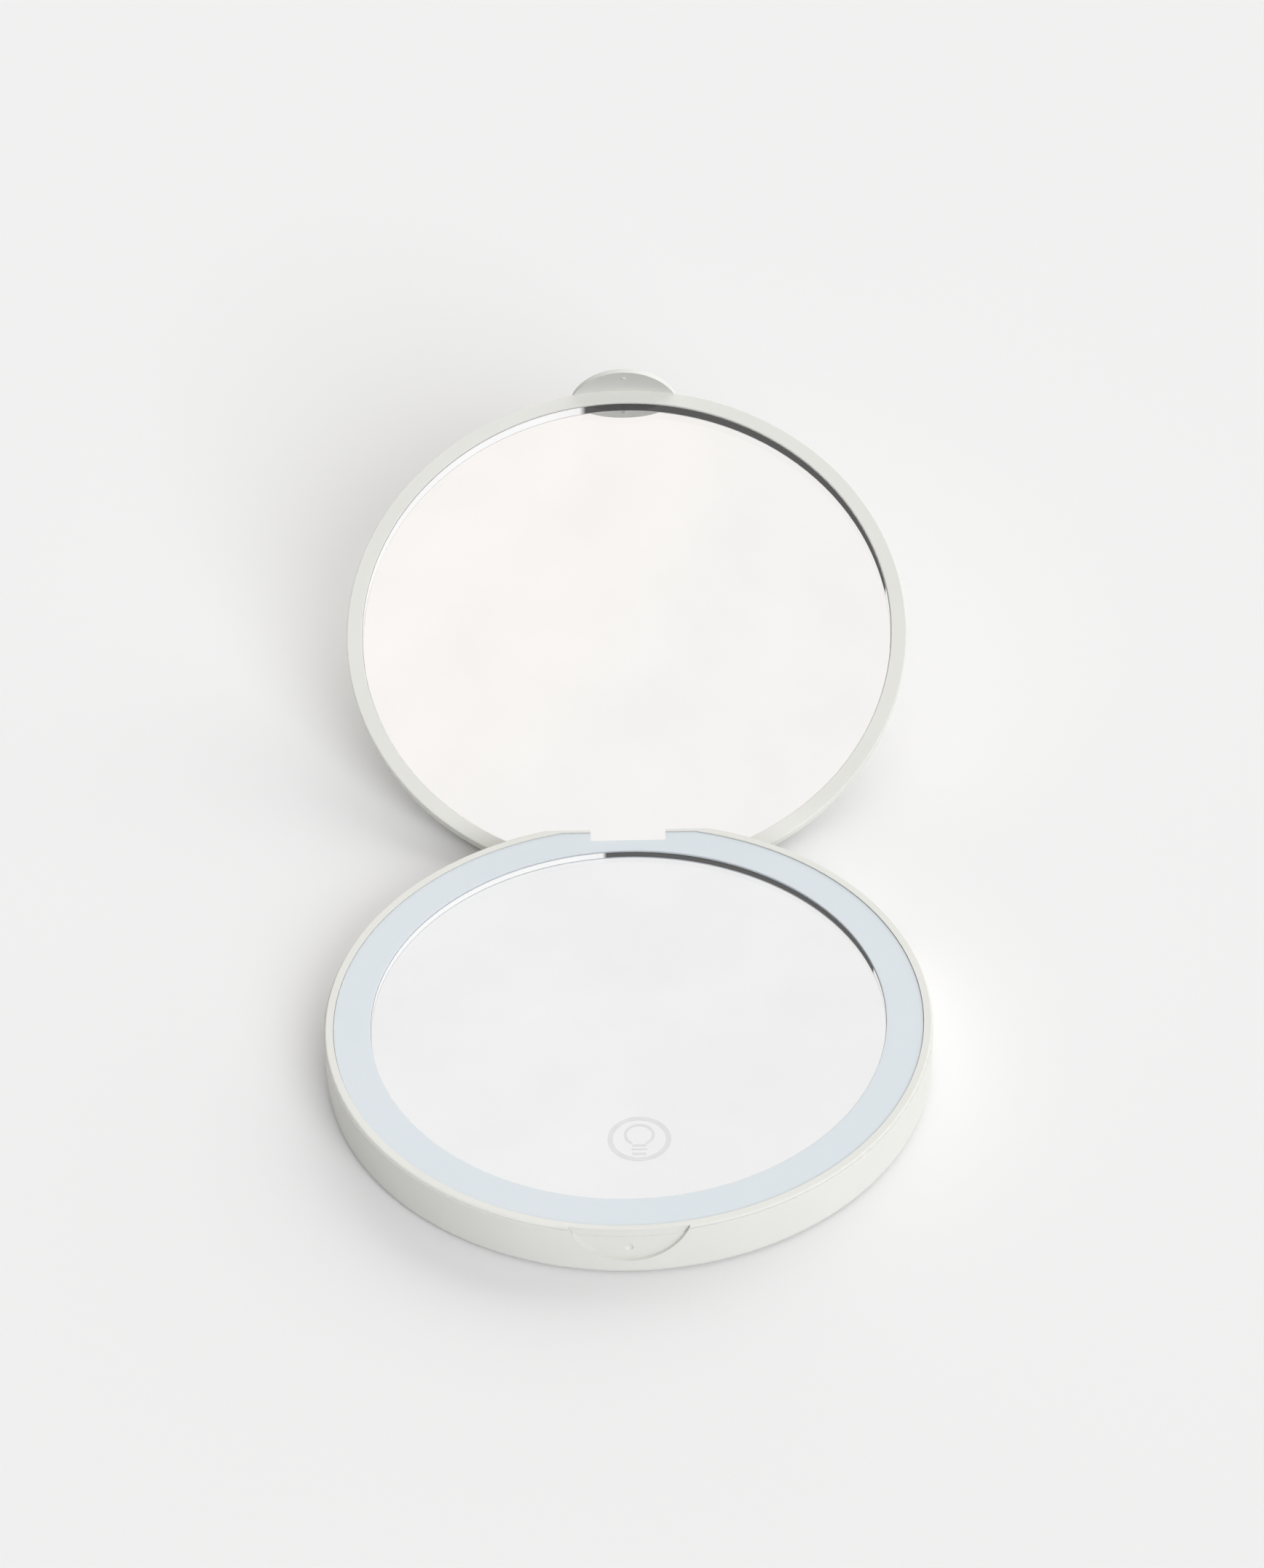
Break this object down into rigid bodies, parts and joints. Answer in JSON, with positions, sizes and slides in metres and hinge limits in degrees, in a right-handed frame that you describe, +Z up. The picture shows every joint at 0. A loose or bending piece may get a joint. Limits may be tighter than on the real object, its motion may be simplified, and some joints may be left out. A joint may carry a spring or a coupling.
{
  "type": "compact mirror",
  "caption": "Round clamshell pocket mirror: an opal light ring round the base mirror, a mirror in the domed lid on a rear hinge, and a thumb tab that opens it.",
  "frame": {"origin": "middle of the base's flat underside, on the axis of the round base", "axes": "+Z up from the table, +Y from the thumb tab's recess towards the hinge, +X along the hinge pin"},
  "size_m": [0.088, 0.165, 0.0408],
  "materials": {
    "casing": "fine matte moulding",
    "opal": "smooth milky diffuser",
    "mirror": "polished silvered glass",
    "tape": "double-sided foam tape",
    "reflector": "white reflector plastic",
    "circuit_film": "white coated flexible circuit",
    "diode": "phosphor lens in a white body",
    "board": "green solder mask",
    "chip": "black epoxy",
    "steel": "plain bright steel",
    "cell_foil": "crimped pouch foil",
    "red_sleeve": "soft wire sleeve",
    "white_sleeve": "soft wire sleeve",
    "black_sleeve": "soft wire sleeve",
    "copper": "bare copper foil"
  },
  "bodies": {
    "base": {"base_shell": "casing", "base_bezel": "casing", "light_diffuser": "opal", "base_mirror": "mirror", "base_mirror_tape": "tape", "mirror_carrier": "reflector", "carrier_screws": "steel", "led_strip": "circuit_film", "led_chips": "diode", "control_board": "board", "board_chips": "chip", "board_screws": "steel", "usb_socket": "steel", "battery_cell": "cell_foil", "battery_tape": "tape", "battery_leads": "red_sleeve", "led_leads": "white_sleeve", "touch_pad": "copper", "touch_lead": "black_sleeve", "hinge_pin": "steel"},
    "lid": {"lid_shell": "casing", "lid_mirror": "mirror", "lid_mirror_tape": "tape"}
  },
  "joints": [
    {"name": "lid_hinge", "type": "hinge", "parent": "base", "child": "lid", "pos_m": [0, 0.0409, 0.0049], "axis": [1, 0, 0], "range_deg": [0, 156.4]}
  ]
}
